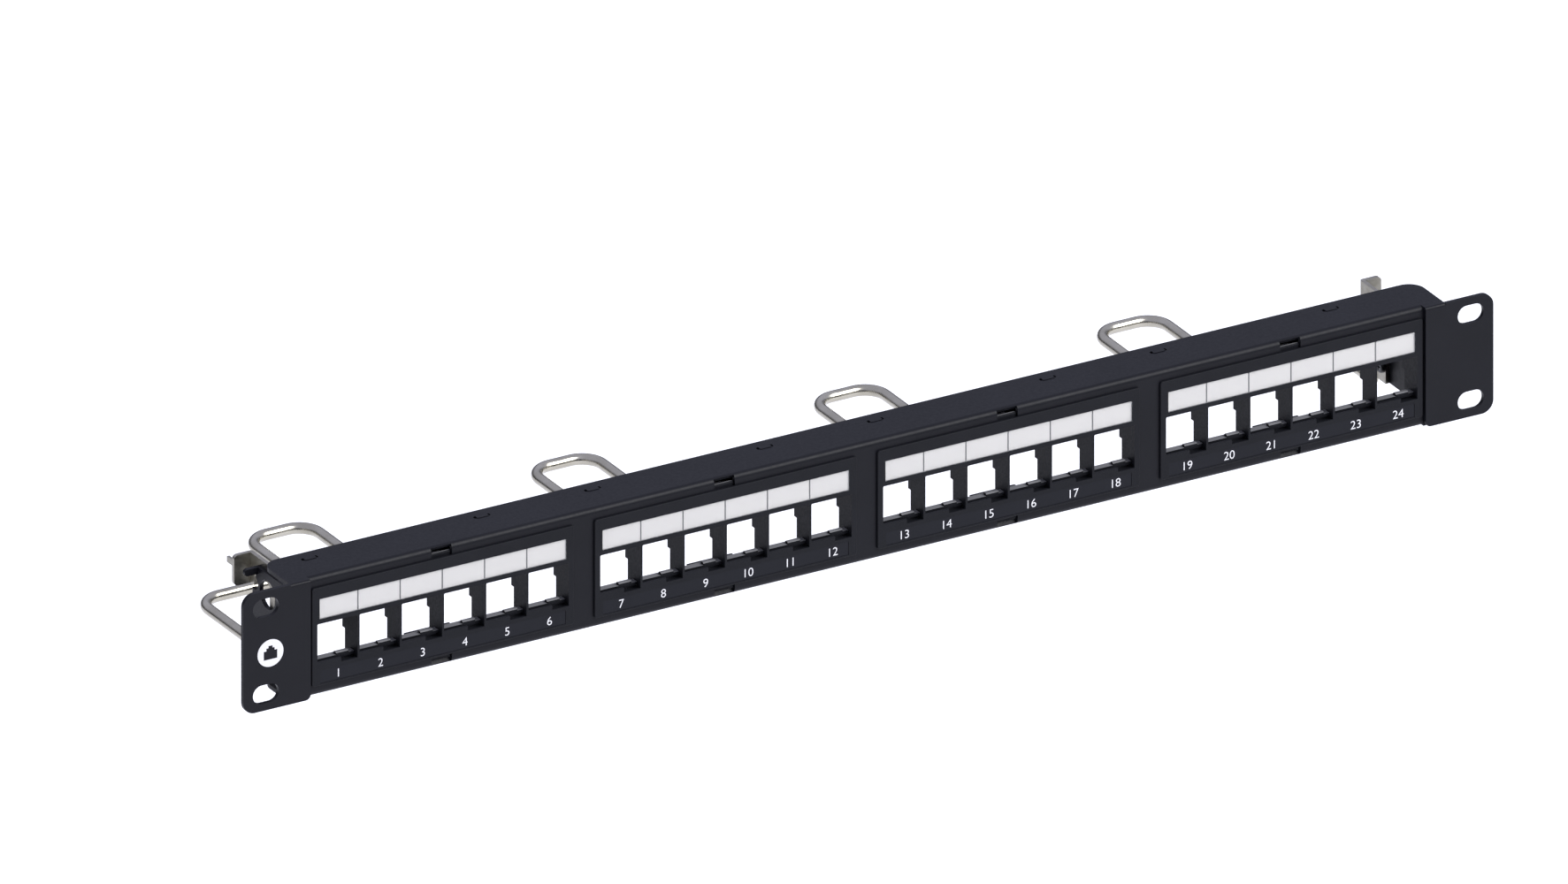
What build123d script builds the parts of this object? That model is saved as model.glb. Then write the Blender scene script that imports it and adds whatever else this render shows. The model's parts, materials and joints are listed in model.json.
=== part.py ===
from build123d import *
import os

# 19 inch, one-unit modular patch panel, unloaded. Millimetres.
# Origin: centre of the rack ears' front face. +X right, +Y to the rear, +Z up.

# Rack ears
RACK_WIDTH = 482.6
UNIT_HEIGHT = 44.0
SHEET = 1.5
EAR_INNER_X = 215.2
EAR_CORNER_R = 4.5
EAR_INNER_CORNER_R = 2.0
EAR_ROLL_R = 1.0
SLOT_SPACING_X = 465.1
SLOT_SPACING_Z = 31.75
SLOT_LENGTH = 10.0
SLOT_WIDTH = 6.8

# Folded channel: its front face lies behind the ears by one sheet
CHANNEL_FRONT = SHEET
CHANNEL_HALF_WIDTH = 222.9
FACE_HALF_WIDTH = 215.1
CHANNEL_REAR = 20.3
BEND_R = 2.0
FLANGE_CORNER_R = 6.0
BRIDGE_OFFSETS = (-43.0, 23.5)
BRIDGE_Y = 15.5
BRIDGE_LENGTH = 5.3
BRIDGE_WIDTH = 2.2
BRIDGE_HEIGHT = 0.2
BRIDGE_GAP = 0.9
BRIDGE_GAP_LENGTH = 1.7
WINDOW_CORNER_R = 0.6
NOTCH_SLOPE = 125.0

# Modules
MODULE_COUNT = 4
MODULE_PITCH = 109.2
PORTS_PER_MODULE = 6
PORT_PITCH = 16.3
BEZEL_FRONT = 0.6
BEZEL_HALF_WIDTH = 50.6
BEZEL_HALF_HEIGHT = 18.1
BLOCK_HALF_WIDTH = 49.3
BLOCK_HALF_HEIGHT = 16.4
FACE_THICKNESS = 2.0
BEZEL_CORNER_R = 0.8
BEZEL_EDGE_R = 0.25
FIT = 0.2

# Keystone openings and the cells behind them
PORT_WIDTH = 15.5
PORT_TOP = 4.7
PORT_BOTTOM = -9.45
CELL_TOP = 11.0
CELL_BOTTOM = -11.5
CELL_WALL = 1.5
CELL_REAR_LOWER = 9.2
CELL_REAR_UPPER = 10.9
CELL_STEP_Z = -3.6
PORT_CORNER_R = 0.4
GROOVE_FRONT = 1.5
SILL_FRONT = 3.0
SILL_REAR = 5.7
SILL_TOP = -9.4
SILL_THICKNESS = 1.2
CATCH = (0.8, 5.6)
CATCH_REAR = 4.8
CATCH_HEIGHT = 0.9
CATCH_CHAMFER = 0.35
POCKET_LEFT = 1.4
POCKET_BOTTOM = -11.0
LIP_HALF_WIDTH = 5.0
LIP = 1.4

# Label field and number field
LABEL_HALF_WIDTH = 47.65
LABEL_BOTTOM = 6.35
LABEL_TOP = 13.85
LABEL_DEPTH = 0.75
CARD = 0.2
WINDOW_THICKNESS = 0.5
WINDOW_RECESS = 0.03
WINDOW_EDGE_R = 0.12
NUMBER_HALF_WIDTH = 47.4
NUMBER_BOTTOM = -17.4
NUMBER_TOP = -12.45
NUMBER_DEPTH = 0.45
NUMBER_STRIP = 0.3
INSERT_GAP = 0.05

# Sprung latch tongues
NOTCH_HALF_WIDTH = 3.95
TONGUE_HALF_WIDTH = 3.7
TONGUE_ROOT_Y = 10.0
TONGUE_ROOT_Z = 15.2
TONGUE_ROOT_R = 0.8
TONGUE_SEAT_R = 0.85
TONGUE_TOP = 16.35
TONGUE_THICKNESS = 1.0
TONGUE_POCKET_REAR = 5.0
TONGUE_POCKET_FLOOR = 14.05
TONGUE_POCKET_SIDE = 1.0
SEAT_SIDE = 1.5
SEAT_FRONT = 2.9
SEAT_LOWERED = 0.5
STOP_HALF_WIDTH = 8.7
STOP_THICKNESS = 1.0
NUB_FRONT = 2.3
NUB_REAR = 3.6
NUB_TOP = 19.4
NUB_EDGE_R = 0.4

# Leg of the ear bracket, inside the channel
LEG_STEP_Y = 16.0
LEG_REAR = 34.2
LEG_REAR_LOWER = 36.5
LEG_ARM_BOTTOM = -15.4
LEG_ARM_TOP = 13.9
LEG_HOLE_Y = 26.5
LEG_HOLE_Z = 6.2
LEG_HOLE_R = 5.2
LEG_CORNER_R = 2.0
LEG_RELIEF_Y = 35.2
LEG_RELIEF_Z = 7.2
LEG_RELIEF_R = 2.4
FINGER_TIP_X = 221.8
FINGER_BOTTOM = 11.5
FINGER_CORNER_R = 1.1

# Cable bar: wire and its two brackets
WIRE_R = 2.0
WIRE_Z = -17.4
WIRE_LEG_X = 214.0
WIRE_LEG_FRONT = 33.0
WIRE_BAR_Y = 78.0
WIRE_LOOP_Y = 112.0
WIRE_LOOP_WIDTH = 24.2
WIRE_BEND_R = 8.0
CHEEK_FRONT = 24.3
CHEEK_REAR = 42.0
CHEEK_TOP = 16.0
CHEEK_WINDOW_Y = (27.5, 38.0)
CHEEK_WINDOW_Z = (-1.5, 9.3)
CHEEK_WINDOW_R = 1.5
CHEEK_BEND_R = 1.2
TAB_OUTER_X = 221.4
TAB_BOTTOM = 4.8
TAB_CORNER_R = 1.5
HOOK_REAR = 45.5
HOOK_Z = (11.9, 14.0)
HOOK_THICKNESS = 1.0

# Bracket fastener: M3 pan head screw and nut
SCREW_Y = 26.6
SCREW_Z = -9.4
SCREW_R = 1.5
SCREW_HOLE_R = 1.6
SCREW_HEAD_R = 2.5
SCREW_HEAD = 1.6
SCREW_HEAD_EDGE_R = 0.8
SCREW_LENGTH = 7.0
RECESS_DEPTH = 0.8
RECESS_ARM = 1.4
RECESS_HALF_WIDTH = 0.3
NUT_FLATS = 5.5
NUT_HEIGHT = 2.2


def block(x, y, z):
    """A box from its (low, high) pairs along X, Y and Z."""
    size = [high - low for low, high in (x, y, z)]
    centre = [(low + high) / 2 for low, high in (x, y, z)]
    return Pos(*centre) * Box(*size)


def prism_x(points, x):
    """A solid with the (y, z) outline given, between two X positions."""
    wire = Polyline(*[(x[0], py, pz) for py, pz in points], close=True)
    return extrude(make_face(wire), amount=x[1] - x[0], dir=(1, 0, 0))


def rod_x(y, z, radius, x):
    """A round bar along X, between two X positions."""
    return Pos((x[0] + x[1]) / 2, y, z) * Rot(0, 90, 0) * Cylinder(radius, x[1] - x[0])


def mirrored(part):
    """The left-hand twin of a right-hand part."""
    return mirror(part, about=Plane.YZ)


def flipped(part):
    """The lower twin of an upper part."""
    return mirror(part, about=Plane.XY)


def edges_along(part, axis, test):
    """Edges parallel to an axis whose middle passes a test."""
    return [edge for edge in part.edges().filter_by(axis) if test(edge.center())]


def module_centres():
    """X of each module's centre, left to right."""
    return [MODULE_PITCH * (n - (MODULE_COUNT - 1) / 2) for n in range(MODULE_COUNT)]


def port_centres():
    """X of each port's centre, from its module's centre."""
    return [PORT_PITCH * (n - (PORTS_PER_MODULE - 1) / 2) for n in range(PORTS_PER_MODULE)]


def obround(length, width, thickness):
    """A flat slot shape lying in XY."""
    return extrude(SlotOverall(length, width), amount=thickness)


def make_flange():
    """The upper flange: wider than the front face, with rounded rear corners."""
    top = UNIT_HEIGHT / 2
    x = CHANNEL_HALF_WIDTH
    flange = block((-x, x), (CHANNEL_FRONT + BEND_R, CHANNEL_REAR), (top - SHEET, top))
    rear = edges_along(flange, Axis.Z, lambda c: c.Y > CHANNEL_REAR - 1)
    flange = fillet(rear, FLANGE_CORNER_R)
    for side in (-1, 1):
        end_x = sorted((side * FACE_HALF_WIDTH, side * x))
        flange += block(end_x, (CHANNEL_FRONT, CHANNEL_FRONT + BEND_R), (top - SHEET, top))
    for centre in module_centres():
        for offset in BRIDGE_OFFSETS:
            flange = add_bridge(flange, centre + offset)
    return flange


def add_bridge(flange, x):
    """Raises one small lanced bridge on the upper flange, open at both ends."""
    top = UNIT_HEIGHT / 2
    flange += Pos(x, BRIDGE_Y, top) * obround(BRIDGE_LENGTH, BRIDGE_WIDTH, BRIDGE_HEIGHT)
    gap = Rot(0, 0, 90) * obround(BRIDGE_GAP_LENGTH, BRIDGE_GAP, 4 * SHEET)
    for side in (-1, 1):
        flange -= Pos(x + side * BRIDGE_LENGTH / 2, BRIDGE_Y, top - 2 * SHEET) * gap
    return flange


def make_notch():
    """The cut through the upper bend that shows the latch tongue."""
    bend_y = CHANNEL_FRONT + BEND_R
    bend_z = UNIT_HEIGHT / 2 - BEND_R
    reach = Vector(0, BEND_R * 1.5, 0).rotate(Axis.X, NOTCH_SLOPE)
    outline = [
        (CHANNEL_FRONT - 1, BLOCK_HALF_HEIGHT),
        (CHANNEL_FRONT + SHEET + FIT, BLOCK_HALF_HEIGHT),
        (CHANNEL_FRONT + SHEET + FIT, bend_z),
        (bend_y, bend_z),
        (bend_y + reach.Y, bend_z + reach.Z),
        (CHANNEL_FRONT - 1, bend_z + reach.Z),
    ]
    return prism_x(outline, (-NOTCH_HALF_WIDTH, NOTCH_HALF_WIDTH))


def make_frame_panel():
    """Folded channel with four module windows."""
    half = UNIT_HEIGHT / 2
    x = FACE_HALF_WIDTH
    face = block((-x, x), (CHANNEL_FRONT, CHANNEL_FRONT + 3 * BEND_R), (-half, half))
    face = fillet(edges_along(face, Axis.X, lambda c: c.Y < CHANNEL_FRONT + 1), BEND_R)
    inner = half - SHEET
    hollow = block((-x - 1, x + 1), (CHANNEL_FRONT + SHEET, CHANNEL_REAR), (-inner, inner))
    hollow = fillet(
        edges_along(hollow, Axis.X, lambda c: c.Y < CHANNEL_FRONT + SHEET + 1), BEND_R - SHEET
    )
    face -= hollow
    flange = make_flange()
    channel = face + flange + flipped(flange)
    window_x = BLOCK_HALF_WIDTH + FIT
    window_z = BLOCK_HALF_HEIGHT + FIT
    window = block((-window_x, window_x), (0, 5), (-window_z, window_z))
    window = fillet(window.edges().filter_by(Axis.Y), WINDOW_CORNER_R)
    notch = make_notch()
    for centre in module_centres():
        channel -= Pos(centre, 0, 0) * (window + notch + flipped(notch))
    return channel


def make_ear_bracket():
    """Right-hand angle: rack ear in front, leg running back inside the channel."""
    half = UNIT_HEIGHT / 2
    outer = RACK_WIDTH / 2
    backed = block((EAR_INNER_X, CHANNEL_HALF_WIDTH), (0, SHEET), (-half, half))
    low_corner = edges_along(backed, Axis.Y, lambda c: c.X < EAR_INNER_X + 1 and c.Z < 0)
    backed = fillet(low_corner, EAR_INNER_CORNER_R)
    backed = fillet(edges_along(backed, Axis.X, lambda c: c.Y < SHEET / 2 and c.Z > 0), EAR_ROLL_R)
    free = block((CHANNEL_HALF_WIDTH, outer), (0, SHEET), (-half, half))
    free = fillet(edges_along(free, Axis.Y, lambda c: c.X > outer - 1), EAR_CORNER_R)
    ear = backed + free
    for side in (-1, 1):
        slot = Rot(90, 0, 0) * obround(SLOT_LENGTH, SLOT_WIDTH, 4 * SHEET)
        ear -= Pos(SLOT_SPACING_X / 2, 2 * SHEET, side * SLOT_SPACING_Z / 2) * slot
    leg_x = (EAR_INNER_X, EAR_INNER_X + SHEET)
    inner = half - SHEET
    wall = block(leg_x, (SHEET, LEG_STEP_Y), (-inner, inner))
    wall += block(leg_x, (LEG_STEP_Y, LEG_REAR), (LEG_ARM_BOTTOM, LEG_ARM_TOP))
    wall += block(leg_x, (LEG_REAR, LEG_REAR_LOWER), (LEG_ARM_BOTTOM, LEG_RELIEF_Z - LEG_RELIEF_R / 2))
    wall = fillet(edges_along(wall, Axis.X, lambda c: c.Y > LEG_REAR_LOWER - 1 and c.Z < 0), LEG_CORNER_R)
    through = (EAR_INNER_X - SHEET, EAR_INNER_X + 2 * SHEET)
    wall -= rod_x(LEG_HOLE_Y, LEG_HOLE_Z, LEG_HOLE_R, through)
    wall -= rod_x(LEG_RELIEF_Y, LEG_RELIEF_Z, LEG_RELIEF_R, through)
    wall -= rod_x(SCREW_Y, SCREW_Z, SCREW_HOLE_R, through)
    finger_x = (EAR_INNER_X + SHEET, FINGER_TIP_X)
    finger = block(finger_x, (LEG_REAR - SHEET, LEG_REAR), (FINGER_BOTTOM, LEG_ARM_TOP))
    outer_ends = edges_along(finger, Axis.Y, lambda c: c.X > FINGER_TIP_X - 1)
    return ear + wall + fillet(outer_ends, FINGER_CORNER_R)


def make_bezel():
    """One module's moulding: rim, face, six keystone cells and two latch seats."""
    front = BEZEL_FRONT
    face_rear = front + FACE_THICKNESS
    rim = block(
        (-BEZEL_HALF_WIDTH, BEZEL_HALF_WIDTH),
        (front, CHANNEL_FRONT),
        (-BEZEL_HALF_HEIGHT, BEZEL_HALF_HEIGHT),
    )
    rim = fillet(rim.edges().filter_by(Axis.Y), BEZEL_CORNER_R)
    rim = fillet(rim.faces().sort_by(Axis.Y)[0].edges(), BEZEL_EDGE_R)
    x = (-BLOCK_HALF_WIDTH, BLOCK_HALF_WIDTH)
    bezel = rim + block(x, (CHANNEL_FRONT, face_rear), (-BLOCK_HALF_HEIGHT, BLOCK_HALF_HEIGHT))
    cell_top = CELL_TOP + CELL_WALL
    cell_bottom = CELL_BOTTOM - CELL_WALL
    bezel += block(x, (face_rear, CELL_REAR_LOWER), (cell_bottom, cell_top))
    bezel += block(x, (CELL_REAR_LOWER, CELL_REAR_UPPER), (CELL_STEP_Z, cell_top))
    bezel += make_latch_seat(cell_top) + flipped(make_latch_seat(-cell_bottom))
    pocket_x = TONGUE_HALF_WIDTH + TONGUE_POCKET_SIDE
    pocket_y = (CHANNEL_FRONT, TONGUE_POCKET_REAR)
    pocket = block((-pocket_x, pocket_x), pocket_y, (TONGUE_POCKET_FLOOR, BEZEL_HALF_HEIGHT))
    bezel -= pocket + flipped(pocket)
    for centre in port_centres():
        bezel = cut_port(bezel, centre)
    label = (LABEL_BOTTOM, LABEL_TOP)
    bezel -= block((-LABEL_HALF_WIDTH, LABEL_HALF_WIDTH), (0, front + LABEL_DEPTH), label)
    number = (NUMBER_BOTTOM, NUMBER_TOP)
    bezel -= block((-NUMBER_HALF_WIDTH, NUMBER_HALF_WIDTH), (0, front + NUMBER_DEPTH), number)
    return bezel


def cut_port(bezel, centre):
    """Cuts one keystone opening and its cell, and adds its sill, catch and upper lip."""
    half = PORT_WIDTH / 2
    face_rear = BEZEL_FRONT + FACE_THICKNESS
    x = (centre - half, centre + half)
    opening = block(x, (0, face_rear), (PORT_BOTTOM, PORT_TOP))
    opening = fillet(opening.edges().filter_by(Axis.Y), PORT_CORNER_R)
    low_z = PORT_BOTTOM + PORT_CORNER_R
    groove = block(x, (GROOVE_FRONT, face_rear), (CELL_BOTTOM, low_z))
    pocket = block((centre + POCKET_LEFT, centre + half), (0, face_rear), (POCKET_BOTTOM, low_z))
    cell = block(x, (face_rear, CELL_REAR_UPPER + 1), (CELL_BOTTOM, CELL_TOP))
    bezel -= opening + groove + pocket + cell
    bezel += block(x, (SILL_FRONT, SILL_REAR), (SILL_TOP - SILL_THICKNESS, SILL_TOP))
    catch_x = (centre + CATCH[0], centre + CATCH[1])
    catch_top = SILL_TOP + CATCH_HEIGHT
    catch = block(catch_x, (SILL_FRONT, CATCH_REAR), (SILL_TOP, catch_top))
    bezel += chamfer(edges_along(catch, Axis.X, lambda c: c.Z > SILL_TOP + CATCH_CHAMFER), CATCH_CHAMFER)
    lip_x = (centre - LIP_HALF_WIDTH, centre + LIP_HALF_WIDTH)
    bezel += block(lip_x, (CELL_REAR_UPPER - LIP, CELL_REAR_UPPER), (CELL_TOP - LIP, CELL_TOP))
    return bezel


def make_latch_seat(base):
    """Post with a half-round trough for the upper tongue's root, and a wall behind it."""
    x = TONGUE_HALF_WIDTH + SEAT_SIDE
    front = TONGUE_ROOT_Y - SEAT_FRONT
    post = block((-x, x), (front, CELL_REAR_UPPER), (base, TONGUE_ROOT_Z))
    across = (-x - 1, x + 1)
    post -= rod_x(TONGUE_ROOT_Y, TONGUE_ROOT_Z, TONGUE_SEAT_R, across)
    arm_room = (TONGUE_ROOT_Z - SEAT_LOWERED, TONGUE_ROOT_Z + 1)
    post -= block(across, (front - 1, TONGUE_ROOT_Y), arm_room)
    stop_x = (-STOP_HALF_WIDTH, STOP_HALF_WIDTH)
    stop_y = (CELL_REAR_UPPER, CELL_REAR_UPPER + STOP_THICKNESS)
    return post + block(stop_x, stop_y, (base - CELL_WALL / 2, BLOCK_HALF_HEIGHT))


def make_latch():
    """Upper latch tongue: round root, flat spring arm and the nub seen in the notch."""
    x = (-TONGUE_HALF_WIDTH, TONGUE_HALF_WIDTH)
    arm_bottom = TONGUE_TOP - TONGUE_THICKNESS
    latch = rod_x(TONGUE_ROOT_Y, TONGUE_ROOT_Z, TONGUE_ROOT_R, x)
    latch += block(x, (NUB_FRONT, TONGUE_ROOT_Y), (arm_bottom, TONGUE_TOP))
    nub = block(x, (NUB_FRONT, NUB_REAR), (arm_bottom, NUB_TOP))
    return latch + fillet(edges_along(nub, Axis.X, lambda c: c.Z > NUB_TOP - 1), NUB_EDGE_R)


def make_card():
    """Printed card behind the clear window."""
    gap = 2 * INSERT_GAP
    x = LABEL_HALF_WIDTH - gap
    rear = BEZEL_FRONT + LABEL_DEPTH
    return block((-x, x), (rear - CARD, rear), (LABEL_BOTTOM + gap, LABEL_TOP - gap))


def make_window():
    """Clear cover snapped in front of the card."""
    x = LABEL_HALF_WIDTH - INSERT_GAP
    front = BEZEL_FRONT + WINDOW_RECESS
    z = (LABEL_BOTTOM + INSERT_GAP, LABEL_TOP - INSERT_GAP)
    window = block((-x, x), (front, front + WINDOW_THICKNESS), z)
    return fillet(window.faces().sort_by(Axis.Y)[0].edges(), WINDOW_EDGE_R)


def make_number_strip():
    """Insert that carries the port numbers."""
    x = NUMBER_HALF_WIDTH - INSERT_GAP
    rear = BEZEL_FRONT + NUMBER_DEPTH
    z = (NUMBER_BOTTOM + INSERT_GAP, NUMBER_TOP - INSERT_GAP)
    return block((-x, x), (rear - NUMBER_STRIP, rear), z)


def make_cable_bar():
    """One wire bent in a plane: two end legs, a rear bar and a loop behind each module."""
    points = [(-WIRE_LEG_X, WIRE_LEG_FRONT), (-WIRE_LEG_X, WIRE_BAR_Y)]
    for centre in module_centres():
        left = centre - WIRE_LOOP_WIDTH / 2
        right = centre + WIRE_LOOP_WIDTH / 2
        points += [(left, WIRE_BAR_Y), (left, WIRE_LOOP_Y), (right, WIRE_LOOP_Y), (right, WIRE_BAR_Y)]
    points += [(WIRE_LEG_X, WIRE_BAR_Y), (WIRE_LEG_X, WIRE_LEG_FRONT)]
    path = FilletPolyline(*[(x, y, WIRE_Z) for x, y in points], radius=WIRE_BEND_R)
    section = Plane(origin=(-WIRE_LEG_X, WIRE_LEG_FRONT, WIRE_Z), z_dir=(0, 1, 0)) * Circle(WIRE_R)
    return sweep(section, path=path)


def make_bar_bracket():
    """Right-hand zinc bracket: cheek beside the ear leg, rear tab turned outward."""
    inner = EAR_INNER_X - SHEET
    cheek_x = (inner, EAR_INNER_X)
    cheek = block(cheek_x, (CHEEK_FRONT, CHEEK_REAR), (WIRE_Z + WIRE_R, CHEEK_TOP))
    window = block((inner - 1, EAR_INNER_X + 1), CHEEK_WINDOW_Y, CHEEK_WINDOW_Z)
    cheek -= fillet(window.edges().filter_by(Axis.X), CHEEK_WINDOW_R)
    middle = sum(CHEEK_WINDOW_Y) / 2
    cheek -= block((inner - 1, EAR_INNER_X + 1), (middle, CHEEK_REAR + 1), (CHEEK_WINDOW_Z[0], TAB_BOTTOM))
    cheek -= rod_x(SCREW_Y, SCREW_Z, SCREW_HOLE_R, (inner - 1, EAR_INNER_X + 1))
    tab = block((inner, TAB_OUTER_X), (CHEEK_REAR - SHEET, CHEEK_REAR), (TAB_BOTTOM, CHEEK_TOP))
    tab = fillet(edges_along(tab, Axis.Y, lambda c: c.X > TAB_OUTER_X - 1), TAB_CORNER_R)
    hook_x = (TAB_OUTER_X - HOOK_THICKNESS, TAB_OUTER_X)
    hook = block(hook_x, (CHEEK_REAR - SHEET, HOOK_REAR), HOOK_Z)
    bracket = cheek + tab + hook
    bend = edges_along(bracket, Axis.Z, lambda c: c.X < inner + 0.1 and c.Y > CHEEK_REAR - 0.1)
    return fillet(bend, CHEEK_BEND_R)


def make_screw():
    """Right-hand pan head screw, put in from the inner side of the bracket."""
    inner = EAR_INNER_X - SHEET
    head = rod_x(SCREW_Y, SCREW_Z, SCREW_HEAD_R, (inner - SCREW_HEAD, inner))
    head = fillet(head.faces().sort_by(Axis.X)[0].edges(), SCREW_HEAD_EDGE_R)
    shank = rod_x(SCREW_Y, SCREW_Z, SCREW_R, (inner, inner + SCREW_LENGTH))
    head_face = inner - SCREW_HEAD
    slot = Box(2 * RECESS_DEPTH, 2 * RECESS_ARM, 2 * RECESS_HALF_WIDTH)
    recess = Pos(head_face, SCREW_Y, SCREW_Z) * (slot + Rot(90, 0, 0) * slot)
    return head + shank - recess


def make_nut():
    """Right-hand nut on the outer side of the ear leg."""
    start = EAR_INNER_X + SHEET
    hexagon = RegularPolygon(NUT_FLATS / 2, 6, major_radius=False)
    nut_face = Plane(origin=(start, SCREW_Y, SCREW_Z), z_dir=(1, 0, 0))
    nut = extrude(nut_face * hexagon, amount=NUT_HEIGHT)
    return nut - rod_x(SCREW_Y, SCREW_Z, SCREW_R, (start - 1, start + NUT_HEIGHT + 1))


def write(name, part):
    """Writes one node's STEP file."""
    export_step(part, f"parts/{name}.step")


def write_pair(name, part):
    """Writes a right-hand part and its left-hand twin."""
    write(f"{name}_right", part)
    write(f"{name}_left", mirrored(part))


os.makedirs("parts", exist_ok=True)
write("frame_panel", make_frame_panel())
write_pair("ear_bracket", make_ear_bracket())
write("cable_bar", make_cable_bar())
write_pair("bar_bracket", make_bar_bracket())
screw = make_screw()
write("bar_screws", Compound(children=[screw, mirrored(screw)]))
nut = make_nut()
write("bar_nuts", Compound(children=[nut, mirrored(nut)]))

module_parts = {
    "module_bezel": make_bezel(),
    "label_strip": make_card(),
    "label_window": make_window(),
    "number_strip": make_number_strip(),
    "latch_top": make_latch(),
    "latch_bottom": flipped(make_latch()),
}
for number, centre in enumerate(module_centres(), start=1):
    for name, part in module_parts.items():
        write(f"{name}_{number}", Pos(centre, 0, 0) * part)
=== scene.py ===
import json
import math

import bmesh
import bpy
from mathutils import Matrix, Vector


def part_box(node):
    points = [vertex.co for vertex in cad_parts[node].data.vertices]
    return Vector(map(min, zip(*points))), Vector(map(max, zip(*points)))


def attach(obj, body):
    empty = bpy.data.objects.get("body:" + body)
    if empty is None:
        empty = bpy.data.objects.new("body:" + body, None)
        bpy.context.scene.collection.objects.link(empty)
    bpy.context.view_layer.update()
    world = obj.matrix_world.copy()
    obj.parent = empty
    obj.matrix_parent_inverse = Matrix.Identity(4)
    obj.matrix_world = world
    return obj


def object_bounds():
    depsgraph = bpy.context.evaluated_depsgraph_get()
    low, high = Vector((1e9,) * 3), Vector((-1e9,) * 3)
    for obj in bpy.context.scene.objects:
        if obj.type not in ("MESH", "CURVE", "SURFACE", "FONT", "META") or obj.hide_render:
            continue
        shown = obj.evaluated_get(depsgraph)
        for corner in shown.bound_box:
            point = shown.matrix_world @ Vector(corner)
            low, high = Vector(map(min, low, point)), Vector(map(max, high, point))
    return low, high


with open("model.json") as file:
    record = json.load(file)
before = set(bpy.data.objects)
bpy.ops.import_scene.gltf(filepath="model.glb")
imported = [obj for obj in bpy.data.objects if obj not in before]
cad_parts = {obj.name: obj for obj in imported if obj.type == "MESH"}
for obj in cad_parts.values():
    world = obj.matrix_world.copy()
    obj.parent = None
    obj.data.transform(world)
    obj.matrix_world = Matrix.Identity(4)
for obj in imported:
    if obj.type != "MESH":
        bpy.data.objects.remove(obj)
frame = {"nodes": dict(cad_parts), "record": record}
cad_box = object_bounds()

MM = 0.001
MODULES = 4
PORTS_PER_MODULE = 6

# Camera: a parallel view from the front left and above
AZIMUTH = -30
ELEVATION = 25
FRAME_WIDTH = 0.5242
LEFT_OF_CENTRE = -0.0282
ABOVE_CENTRE = 0.0207
CAMERA_DISTANCE = 2.0

# Floor and lights
FLOOR_DROP = 0.45
FLOOR_HALF = 3.0
FLOOR_WHITE = (0.93, 0.93, 0.93)
FLOOR_GLOW = 0.12
SKY_UPPER = (0.73, 0.75, 0.93)
SKY_HORIZON = (0.08, 0.08, 0.085)
SKY_RISE = (0.08, 0.38)
KEY_PLACE = (2.72, -3.60, 3.96)
KEY_SIZE = 3.9
KEY_POWER = 450

# Range that the noise mostly fills
NOISE_RANGE = (0.3, 0.7)

# Softened edges, for the finishes that have them
BEVEL_SEGMENTS = 2
BEVEL_ANGLE = 35
EDGE_WIDTH = {
    "black_steel": 0.25 * MM,
    "black_plastic": 0.15 * MM,
    "zinc_plate": 0.2 * MM,
    "black_screw": 0.12 * MM,
}

# Ledges set back in the openings, whose level tops are painted paler as painted light from above
LEDGE_FRONT = 2.7 * MM
LEDGE_LOWEST = -10.2 * MM
LEVEL_ENOUGH = 0.7
# Paler colour for the ledges' level tops: painted light, not the plastic's own colour
LEDGE_PAINTED_LIGHT = (0.14, 0.14, 0.145)

# Printed marks
NUMERAL_HEIGHT = 3.1 * MM
CAP_HEIGHT = 0.7
NUMERAL_DROP = 0.18 * MM
NUMERAL_WEIGHT = -0.02 * MM
NUMERAL_SHIFT = 0.4 * MM
INK = 0.03 * MM
DIVIDER_WIDTH = 0.5 * MM
MARK_X = -230.8 * MM
MARK_Z = -1.2 * MM
MARK_RADIUS = 5.0 * MM
MARK_SIDES = 48
# Half of a jack opening's outline, from its floor up to its stepped top
JACK_HALF = ((2.6, -2.3), (2.6, 0.9), (1.6, 0.9), (1.6, 1.9), (0.8, 1.9), (0.8, 2.7))

ports = {
    mount["name"]: Vector(mount["pos_m"])
    for mount in frame["record"]["mounts"]
    if mount["name"].startswith("keystone_")
}


def view_direction():
    """Unit vector along the camera's line of sight."""
    azimuth, elevation = math.radians(AZIMUTH), math.radians(ELEVATION)
    flat = math.cos(elevation)
    return Vector((-math.sin(azimuth) * flat, math.cos(azimuth) * flat, -math.sin(elevation)))


# Materials


def new_material(name, colour, roughness, metallic=0.0, specular=0.5):
    """A material with a Principled shader, and its node tree."""
    mat = bpy.data.materials.new(name)
    mat.use_nodes = True
    tree = mat.node_tree
    shader = tree.nodes["Principled BSDF"]
    shader.inputs["Base Color"].default_value = (*colour, 1)
    shader.inputs["Roughness"].default_value = roughness
    shader.inputs["Metallic"].default_value = metallic
    shader.inputs["Specular IOR Level"].default_value = specular
    return mat, tree, shader


def add_noise(tree, scale, detail=3.0, stretch=(1, 1, 1)):
    """Noise in the piece's own metres; stretch squeezes it along each axis."""
    place = tree.nodes.new("ShaderNodeTexCoord")
    mapping = tree.nodes.new("ShaderNodeMapping")
    mapping.inputs["Scale"].default_value = stretch
    noise = tree.nodes.new("ShaderNodeTexNoise")
    noise.inputs["Scale"].default_value = scale
    noise.inputs["Detail"].default_value = detail
    tree.links.new(place.outputs["Object"], mapping.inputs["Vector"])
    tree.links.new(mapping.outputs["Vector"], noise.inputs["Vector"])
    return noise.outputs["Fac"]


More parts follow.
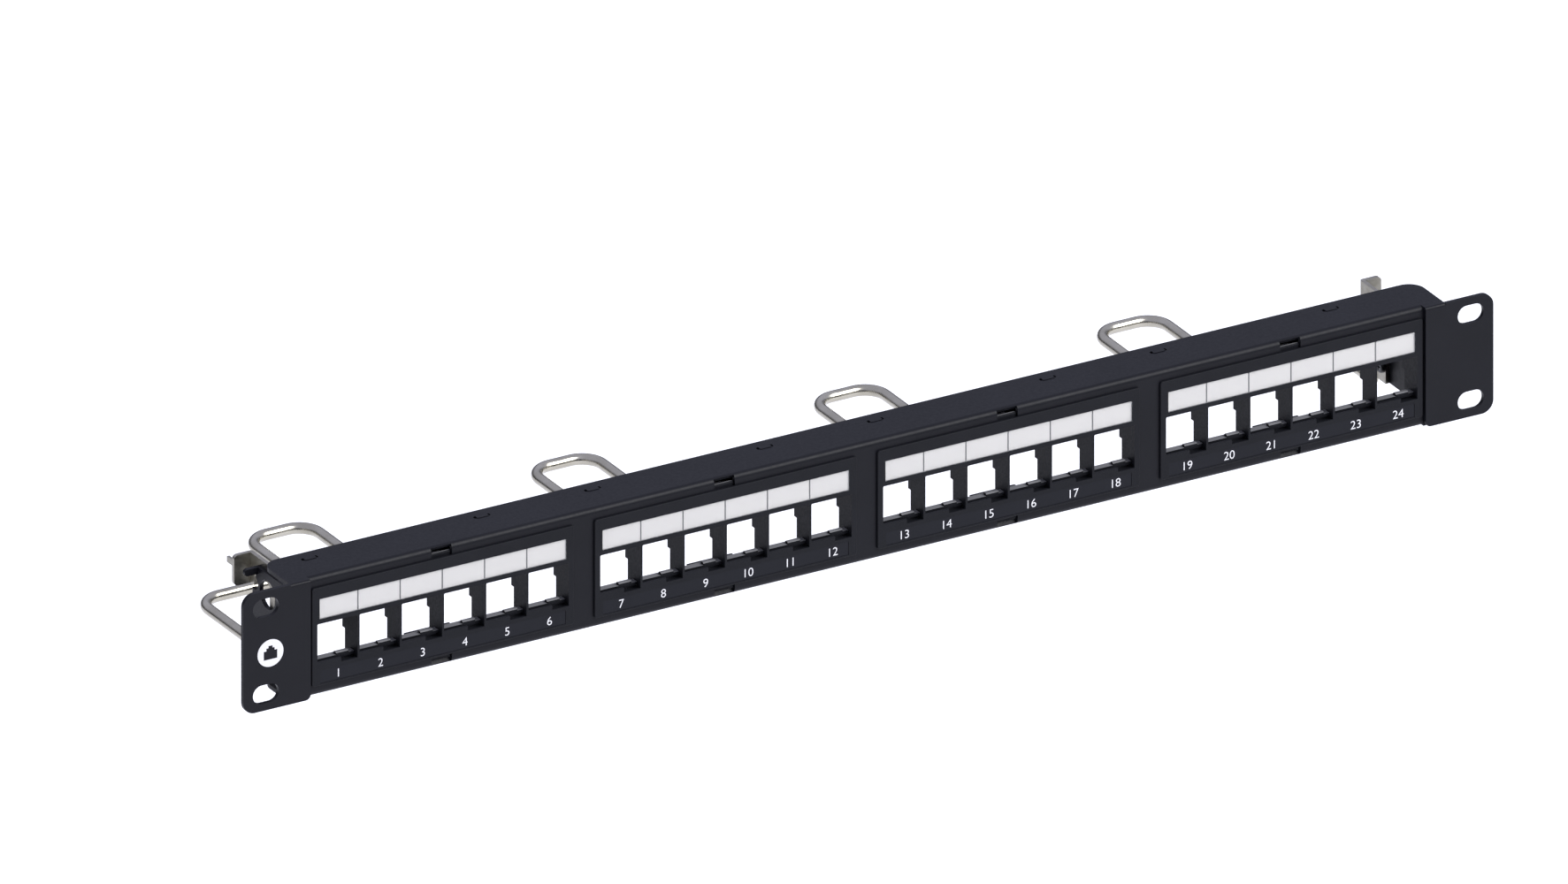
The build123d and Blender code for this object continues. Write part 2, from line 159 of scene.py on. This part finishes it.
def vary_colour(tree, shader, fac, dark, light):
    """Base colour between two tones, driven by a noise."""
    ramp = tree.nodes.new("ShaderNodeValToRGB")
    for stop, position, colour in zip(ramp.color_ramp.elements, NOISE_RANGE, (dark, light)):
        stop.position = position
        stop.color = (*colour, 1)
    tree.links.new(fac, ramp.inputs["Fac"])
    tree.links.new(ramp.outputs["Color"], shader.inputs["Base Color"])


def vary_roughness(tree, shader, fac, low, high):
    """Roughness between two values, driven by a noise."""
    span = tree.nodes.new("ShaderNodeMapRange")
    span.inputs["From Min"].default_value = NOISE_RANGE[0]
    span.inputs["From Max"].default_value = NOISE_RANGE[1]
    span.inputs["To Min"].default_value = low
    span.inputs["To Max"].default_value = high
    tree.links.new(fac, span.inputs["Value"])
    tree.links.new(span.outputs["Result"], shader.inputs["Roughness"])


def add_bump(tree, shader, fac, depth):
    """Bump of the given depth in metres."""
    bump = tree.nodes.new("ShaderNodeBump")
    bump.inputs["Distance"].default_value = depth
    tree.links.new(fac, bump.inputs["Height"])
    tree.links.new(bump.outputs["Normal"], shader.inputs["Normal"])


def powder_coat():
    """Black powder coat: fine orange peel, a little cloudy."""
    mat, tree, shader = new_material("black_steel", (0.0058, 0.0061, 0.0086), 0.42, specular=0.125)
    vary_colour(tree, shader, add_noise(tree, 60), (0.0053, 0.0056, 0.0079), (0.0063, 0.0066, 0.0093))
    vary_roughness(tree, shader, add_noise(tree, 900), 0.38, 0.46)
    add_bump(tree, shader, add_noise(tree, 2600, 2.0), 0.012 * MM)
    return mat


def above(tree, output, axis, limit):
    """1 where one axis of a texture coordinate is over a limit, 0 elsewhere."""
    place = tree.nodes.new("ShaderNodeTexCoord")
    parts = tree.nodes.new("ShaderNodeSeparateXYZ")
    test = tree.nodes.new("ShaderNodeMath")
    test.operation = "GREATER_THAN"
    test.inputs[1].default_value = limit
    tree.links.new(place.outputs[output], parts.inputs["Vector"])
    tree.links.new(parts.outputs[axis], test.inputs[0])
    return test.outputs["Value"]


def both(tree, first, second):
    """1 where two masks are both 1, 0 elsewhere."""
    product = tree.nodes.new("ShaderNodeMath")
    product.operation = "MULTIPLY"
    tree.links.new(first, product.inputs[0])
    tree.links.new(second, product.inputs[1])
    return product.outputs["Value"]


def ledge_mask(tree):
    """1 on the level tops of the sills and catches set back behind the module's face, where painted
    light is put, 0 elsewhere.
    """
    behind = above(tree, "Object", "Y", LEDGE_FRONT)
    high = above(tree, "Object", "Z", LEDGE_LOWEST)
    level = above(tree, "Normal", "Z", LEVEL_ENOUGH)
    return both(tree, both(tree, behind, high), level)


def mix_in(tree, socket, mask, colour):
    """Puts a colour in place of what feeds a colour socket, where the mask is 1."""
    mix = tree.nodes.new("ShaderNodeMix")
    mix.data_type = "RGBA"
    ends = {end.identifier: end for end in (*mix.inputs, *mix.outputs)}
    ends["B_Color"].default_value = (*colour, 1)
    tree.links.new(mask, ends["Factor_Float"])
    tree.links.new(socket.links[0].from_socket, ends["A_Color"])
    tree.links.new(ends["Result_Color"], socket)


def moulded_plastic():
    """Matt black moulding with a fine spark-eroded grain; the level tops of ledges in the openings are
    painted paler, as painted light from above.
    """
    mat, tree, shader = new_material("black_plastic", (0.0069, 0.0074, 0.0097), 0.5, specular=0.118)
    vary_colour(tree, shader, add_noise(tree, 90), (0.0062, 0.0067, 0.0088), (0.0076, 0.0081, 0.0106))
    # Painted light: the level tops of the ledges get a paler colour, standing in for the light they
    # catch from above
    mix_in(tree, shader.inputs["Base Color"], ledge_mask(tree), LEDGE_PAINTED_LIGHT)
    vary_roughness(tree, shader, add_noise(tree, 1500), 0.48, 0.62)
    add_bump(tree, shader, add_noise(tree, 5200, 3.0), 0.008 * MM)
    return mat


def number_plastic():
    """Smoother satin strip behind the port numbers."""
    mat, tree, shader = new_material("number_plastic", (0.0076, 0.0082, 0.0115), 0.38, specular=0.115)
    vary_colour(tree, shader, add_noise(tree, 70), (0.0070, 0.0076, 0.0107), (0.0082, 0.0088, 0.0123))
    vary_roughness(tree, shader, add_noise(tree, 1200), 0.34, 0.44)
    add_bump(tree, shader, add_noise(tree, 3800, 2.0), 0.003 * MM)
    return mat


def label_card():
    """Light grey card with a faint paper grain."""
    mat, tree, shader = new_material("label_card", (0.432, 0.417, 0.387), 0.8, specular=0.2)
    vary_colour(tree, shader, add_noise(tree, 2400, 5.0), (0.417, 0.402, 0.372), (0.447, 0.432, 0.402))
    add_bump(tree, shader, add_noise(tree, 6000, 4.0), 0.006 * MM)
    return mat


def clear_plastic():
    """Thin clear cover: mostly see-through, with a soft gloss."""
    mat, tree, shader = new_material("clear_plastic", (0.95, 0.96, 0.97), 0.12)
    shader.inputs["Alpha"].default_value = 0.12
    vary_roughness(tree, shader, add_noise(tree, 400), 0.08, 0.16)
    return mat


def polished_wire():
    """Bright nickel-plated wire with faint draw lines and handling haze."""
    mat, tree, shader = new_material("polished_wire", (0.38, 0.362, 0.308), 0.24, metallic=1.0)
    vary_colour(tree, shader, add_noise(tree, 120), (0.34, 0.322, 0.268), (0.42, 0.402, 0.348))
    vary_roughness(tree, shader, add_noise(tree, 500), 0.18, 0.30)
    add_bump(tree, shader, add_noise(tree, 3000, 2.0), 0.004 * MM)
    return mat


def zinc_plate():
    """Satin zinc plate with a cloudy passivated tone and fine rolling lines."""
    mat, tree, shader = new_material("zinc_plate", (0.30, 0.287, 0.247), 0.36, metallic=1.0)
    vary_colour(tree, shader, add_noise(tree, 350, 4.0), (0.26, 0.247, 0.207), (0.34, 0.327, 0.287))
    vary_roughness(tree, shader, add_noise(tree, 1500, 2.0, (0.1, 0.1, 1)), 0.30, 0.44)
    add_bump(tree, shader, add_noise(tree, 2500, 3.0, (0.06, 0.06, 1)), 0.004 * MM)
    return mat


def black_screw():
    """Black oxide steel."""
    mat, tree, shader = new_material("black_screw", (0.03, 0.03, 0.032), 0.34, metallic=0.6)
    vary_roughness(tree, shader, add_noise(tree, 1800), 0.28, 0.42)
    add_bump(tree, shader, add_noise(tree, 5000), 0.004 * MM)
    return mat


def printed_ink(name, colour):
    """Screen-printed ink, a little uneven."""
    mat, tree, shader = new_material(name, colour, 0.6, specular=0.3)
    dark = [0.93 * c for c in colour]
    vary_colour(tree, shader, add_noise(tree, 3500, 4.0), dark, colour)
    return mat


finishes = {
    "black_steel": powder_coat(),
    "black_plastic": moulded_plastic(),
    "number_plastic": number_plastic(),
    "label_card": label_card(),
    "clear_plastic": clear_plastic(),
    "polished_wire": polished_wire(),
    "zinc_plate": zinc_plate(),
    "black_screw": black_screw(),
    "print_white": printed_ink("print_white", (0.66, 0.66, 0.67)),
}
divider_ink = printed_ink("divider_ink", (0.012, 0.012, 0.013))


# Shapes


def add_bevel(obj, width):
    """Rounds an object's sharp edges."""
    bevel = obj.modifiers.new("edges", "BEVEL")
    bevel.width = width
    bevel.segments = BEVEL_SEGMENTS
    bevel.limit_method = "ANGLE"
    bevel.angle_limit = math.radians(BEVEL_ANGLE)
    bevel.harden_normals = True
    bevel.use_clamp_overlap = True


def add_piece(name, mesh, mat, body):
    """A new piece from a mesh that is already in place."""
    obj = bpy.data.objects.new(name, mesh)
    bpy.context.scene.collection.objects.link(obj)
    mesh.materials.clear()
    mesh.materials.append(mat)
    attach(obj, body)


def add_box(bm, low, high):
    """Adds a box between two corners to a bmesh."""
    size = high - low
    centre = (high + low) / 2
    where = Matrix.Translation(centre) @ Matrix.Diagonal((*size, 1))
    bmesh.ops.create_cube(bm, size=1, matrix=where)


def dress_cad_nodes():
    """Gives every CAD node its finish and softened edges."""
    slots = {part["node"]: part["material_slot"] for part in frame["record"]["subparts"]}
    for name, obj in frame["nodes"].items():
        slot = slots[name]
        obj.data.materials.clear()
        obj.data.materials.append(finishes[slot])
        if slot in EDGE_WIDTH:
            add_bevel(obj, EDGE_WIDTH[slot])


def add_flat_print(curve, centre, body):
    """Turns a flat curve into a thin white print that faces the front, centred on a point."""
    name = curve.name
    shape = bpy.data.objects.new(name, curve)
    bpy.context.scene.collection.objects.link(shape)
    bpy.context.view_layer.update()
    mesh = bpy.data.meshes.new_from_object(shape)
    bpy.data.objects.remove(shape)
    mesh.transform(Matrix.Translation(centre) @ Matrix.Rotation(math.radians(90), 4, "X"))
    add_piece(name, mesh, finishes["print_white"], body)


def add_numerals():
    """Port numbers 1 to 24 on the number strips."""
    for count, name in enumerate(sorted(ports), start=1):
        module = (count - 1) // PORTS_PER_MODULE + 1
        low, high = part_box(f"number_strip_{module}")
        curve = bpy.data.curves.new(f"numeral_{count:02d}", "FONT")
        curve.body = str(count)
        curve.align_x = "CENTER"
        curve.align_y = "CENTER"
        curve.size = NUMERAL_HEIGHT / CAP_HEIGHT
        curve.offset = NUMERAL_WEIGHT
        curve.extrude = INK / 2
        middle = (low.z + high.z) / 2
        centre = Vector((ports[name].x + NUMERAL_SHIFT, low.y - INK / 2, middle - NUMERAL_DROP))
        add_flat_print(curve, centre, f"module_{module}")


def add_ear_mark():
    """A plain printed disc with a jack opening left out of it, on the left ear."""
    disc = [
        (MARK_RADIUS * math.cos(turn), MARK_RADIUS * math.sin(turn))
        for turn in (2 * math.pi * n / MARK_SIDES for n in range(MARK_SIDES))
    ]
    half = [(x * MM, y * MM) for x, y in JACK_HALF]
    jack = half + [(-x, y) for x, y in reversed(half)]
    curve = bpy.data.curves.new("ear_mark", "CURVE")
    curve.dimensions = "2D"
    curve.fill_mode = "BOTH"
    curve.extrude = INK / 2
    for outline in (disc, jack):
        spline = curve.splines.new("POLY")
        spline.points.add(len(outline) - 1)
        for point, (x, y) in zip(spline.points, outline):
            point.co = (x, y, 0, 1)
        spline.use_cyclic_u = True
    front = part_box("ear_bracket_left")[0].y
    centre = Vector((MARK_X, front - INK / 2, MARK_Z))
    add_flat_print(curve, centre, "panel")


def add_dividers():
    """Thin printed lines that part each label strip into six fields."""
    names = sorted(ports)
    for module in range(1, MODULES + 1):
        low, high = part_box(f"label_strip_{module}")
        first = (module - 1) * PORTS_PER_MODULE
        bm = bmesh.new()
        for left, right in zip(names[first:], names[first + 1:first + PORTS_PER_MODULE]):
            x = (ports[left].x + ports[right].x) / 2
            add_box(
                bm,
                Vector((x - DIVIDER_WIDTH / 2, low.y - INK, low.z)),
                Vector((x + DIVIDER_WIDTH / 2, low.y, high.z)),
            )
        mesh = bpy.data.meshes.new(f"label_lines_{module}")
        bm.to_mesh(mesh)
        bm.free()
        add_piece(f"label_lines_{module}", mesh, divider_ink, f"module_{module}")


def add_stage():
    """Plain pale floor well below the panel."""
    mesh = bpy.data.meshes.new("floor")
    bm = bmesh.new()
    bmesh.ops.create_grid(bm, x_segments=1, y_segments=1, size=FLOOR_HALF)
    bm.to_mesh(mesh)
    bm.free()
    floor = bpy.data.objects.new("floor", mesh)
    floor.location.z = cad_box[0].z - FLOOR_DROP
    bpy.context.scene.collection.objects.link(floor)
    mat, _, shader = new_material("floor_white", FLOOR_WHITE, 0.9, specular=0.1)
    shader.inputs["Emission Color"].default_value = (1, 1, 1, 1)
    shader.inputs["Emission Strength"].default_value = FLOOR_GLOW
    mesh.materials.append(mat)


def add_sky():
    """A soft even sky over a dark horizon, so that round metal shows dark bands."""
    world = bpy.data.worlds.new("studio")
    bpy.context.scene.world = world
    world.use_nodes = True
    tree = world.node_tree
    place = tree.nodes.new("ShaderNodeTexCoord")
    parts = tree.nodes.new("ShaderNodeSeparateXYZ")
    ramp = tree.nodes.new("ShaderNodeValToRGB")
    for stop, position, colour in zip(ramp.color_ramp.elements, SKY_RISE, (SKY_HORIZON, SKY_UPPER)):
        stop.position = position
        stop.color = (*colour, 1)
    tree.links.new(place.outputs["Generated"], parts.inputs["Vector"])
    tree.links.new(parts.outputs["Z"], ramp.inputs["Fac"])
    tree.links.new(ramp.outputs["Color"], tree.nodes["Background"].inputs["Color"])


def add_light(name, location, size, power):
    """A soft square light aimed at the panel's middle."""
    light = bpy.data.lights.new(name, "AREA")
    light.size = size
    light.energy = power
    obj = bpy.data.objects.new(name, light)
    obj.location = location
    obj.rotation_euler = (-Vector(location)).to_track_quat("-Z", "Y").to_euler()
    bpy.context.scene.collection.objects.link(obj)


def add_camera():
    """Parallel camera that frames the panel as seen from the front left."""
    direction = view_direction()
    right = direction.cross(Vector((0, 0, 1))).normalized()
    up = right.cross(direction)
    aim = right * LEFT_OF_CENTRE + up * ABOVE_CENTRE
    camera = bpy.data.cameras.new("camera")
    camera.type = "ORTHO"
    camera.ortho_scale = FRAME_WIDTH
    obj = bpy.data.objects.new("camera", camera)
    obj.location = aim - direction * CAMERA_DISTANCE
    obj.rotation_euler = direction.to_track_quat("-Z", "Y").to_euler()
    bpy.context.scene.collection.objects.link(obj)
    bpy.context.scene.camera = obj


dress_cad_nodes()
add_numerals()
add_ear_mark()
add_dividers()
add_stage()
add_sky()
add_light("key", KEY_PLACE, KEY_SIZE, KEY_POWER)
add_camera()
bpy.context.scene.view_settings.view_transform = "Standard"
